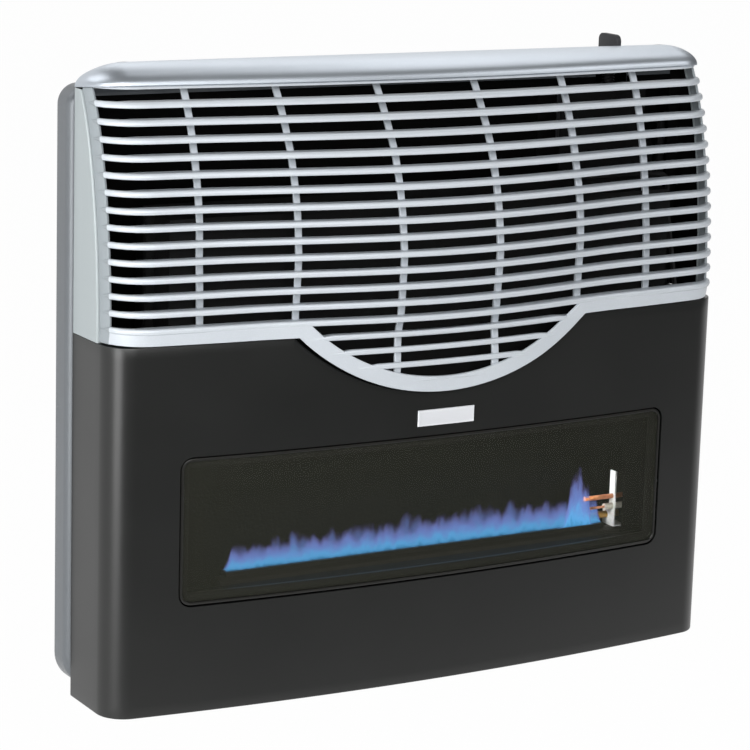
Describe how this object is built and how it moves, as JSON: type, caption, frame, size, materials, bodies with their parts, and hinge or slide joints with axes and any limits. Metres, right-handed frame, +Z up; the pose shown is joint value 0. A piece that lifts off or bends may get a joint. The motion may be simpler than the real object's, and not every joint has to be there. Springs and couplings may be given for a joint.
{
  "type": "wall mounted gas heater",
  "caption": "Wall heater with a bowed dark casing, fire window, belly-shaped slatted grille, domed top cap, control knob, igniter button, sealed burner chamber and balanced flue.",
  "frame": {"origin": "the wall reference point, in the middle of the width on the wall plate's back face, 240 mm above the frame's lower edge", "axes": "+X to the right for someone facing the heater, +Y into the wall, +Z up"},
  "size_m": [0.6486, 0.1536, 0.5793],
  "materials": {
    "frame_paint": "satin grey paint",
    "charcoal_paint": "smooth satin charcoal paint",
    "cheek_paint": "light grey satin paint",
    "silver_paint": "metallic silver paint",
    "badge_metal": "bright plate, left blank",
    "black_enamel": "black heat-proof enamel",
    "fire_glass": "clear heat-proof glass over a dark chamber",
    "seal_rope": "matt mineral fibre gasket",
    "plated_steel": "plated or bare sheet steel",
    "cast_aluminium": "cast or drawn aluminium",
    "brass": "machined brass",
    "copper": "drawn copper",
    "ceramic": "glazed white ceramic",
    "knob_plastic": "dark grey heat-proof plastic",
    "lead_rubber": "silicone covered lead"
  },
  "bodies": {
    "heater": {"rear_frame": "frame_paint", "wall_plate": "frame_paint", "front_casing": "charcoal_paint", "left_cheek": "cheek_paint", "right_cheek": "cheek_paint", "front_grille": "silver_paint", "top_cap": "silver_paint", "badge_plate": "badge_metal", "window_bezel": "black_enamel", "window_glass": "fire_glass", "window_gasket": "seal_rope", "chamber_rear_shell": "black_enamel", "chamber_seal": "seal_rope", "chamber_front_shell": "black_enamel", "baffle_plate": "black_enamel", "exhaust_spigot": "plated_steel", "air_collar": "plated_steel", "left_chamber_bracket": "plated_steel", "right_chamber_bracket": "plated_steel", "burner_tube": "plated_steel", "burner_port_strip": "plated_steel", "burner_saddle": "plated_steel", "burner_plate": "plated_steel", "burner_plate_gasket": "seal_rope", "burner_plate_screw_1": "plated_steel", "burner_plate_screw_2": "plated_steel", "burner_plate_screw_3": "plated_steel", "burner_plate_screw_4": "plated_steel", "injector": "brass", "injector_bridge": "plated_steel", "pilot_bracket": "plated_steel", "pilot_burner": "brass", "thermocouple": "copper", "electrode_ceramic": "ceramic", "spark_electrode": "copper", "control_bracket": "black_enamel", "gas_valve_body": "cast_aluminium", "igniter_body": "knob_plastic", "gas_inlet_union": "brass", "gas_supply_pipe": "black_enamel", "burner_supply_pipe": "black_enamel", "pilot_pipe": "cast_aluminium", "thermocouple_lead": "copper", "ignition_lead": "lead_rubber", "igniter_spring": "plated_steel"},
    "sleeve": {"valve_sleeve": "brass", "knob_spring": "plated_steel"},
    "knob": {"control_knob": "knob_plastic", "valve_spindle": "plated_steel"},
    "button": {"igniter_button": "knob_plastic"}
  },
  "joints": [
    {"name": "knob_turn", "type": "hinge", "parent": "heater", "child": "sleeve", "pos_m": [0.2385, -0.021, 0.285], "axis": [0, 0, 1], "range_deg": [0, 180]},
    {"name": "knob_push", "type": "slide", "parent": "sleeve", "child": "knob", "axis": [0, 0, -1], "range_m": [0, 0.003], "stiffness_N_per_m": 900, "springref_m": -0.003, "deforming": ["knob_spring"]},
    {"name": "igniter_push", "type": "slide", "parent": "heater", "child": "button", "axis": [0, 0, -1], "range_m": [0, 0.005], "stiffness_N_per_m": 600, "springref_m": -0.003, "deforming": ["igniter_spring"]}
  ]
}
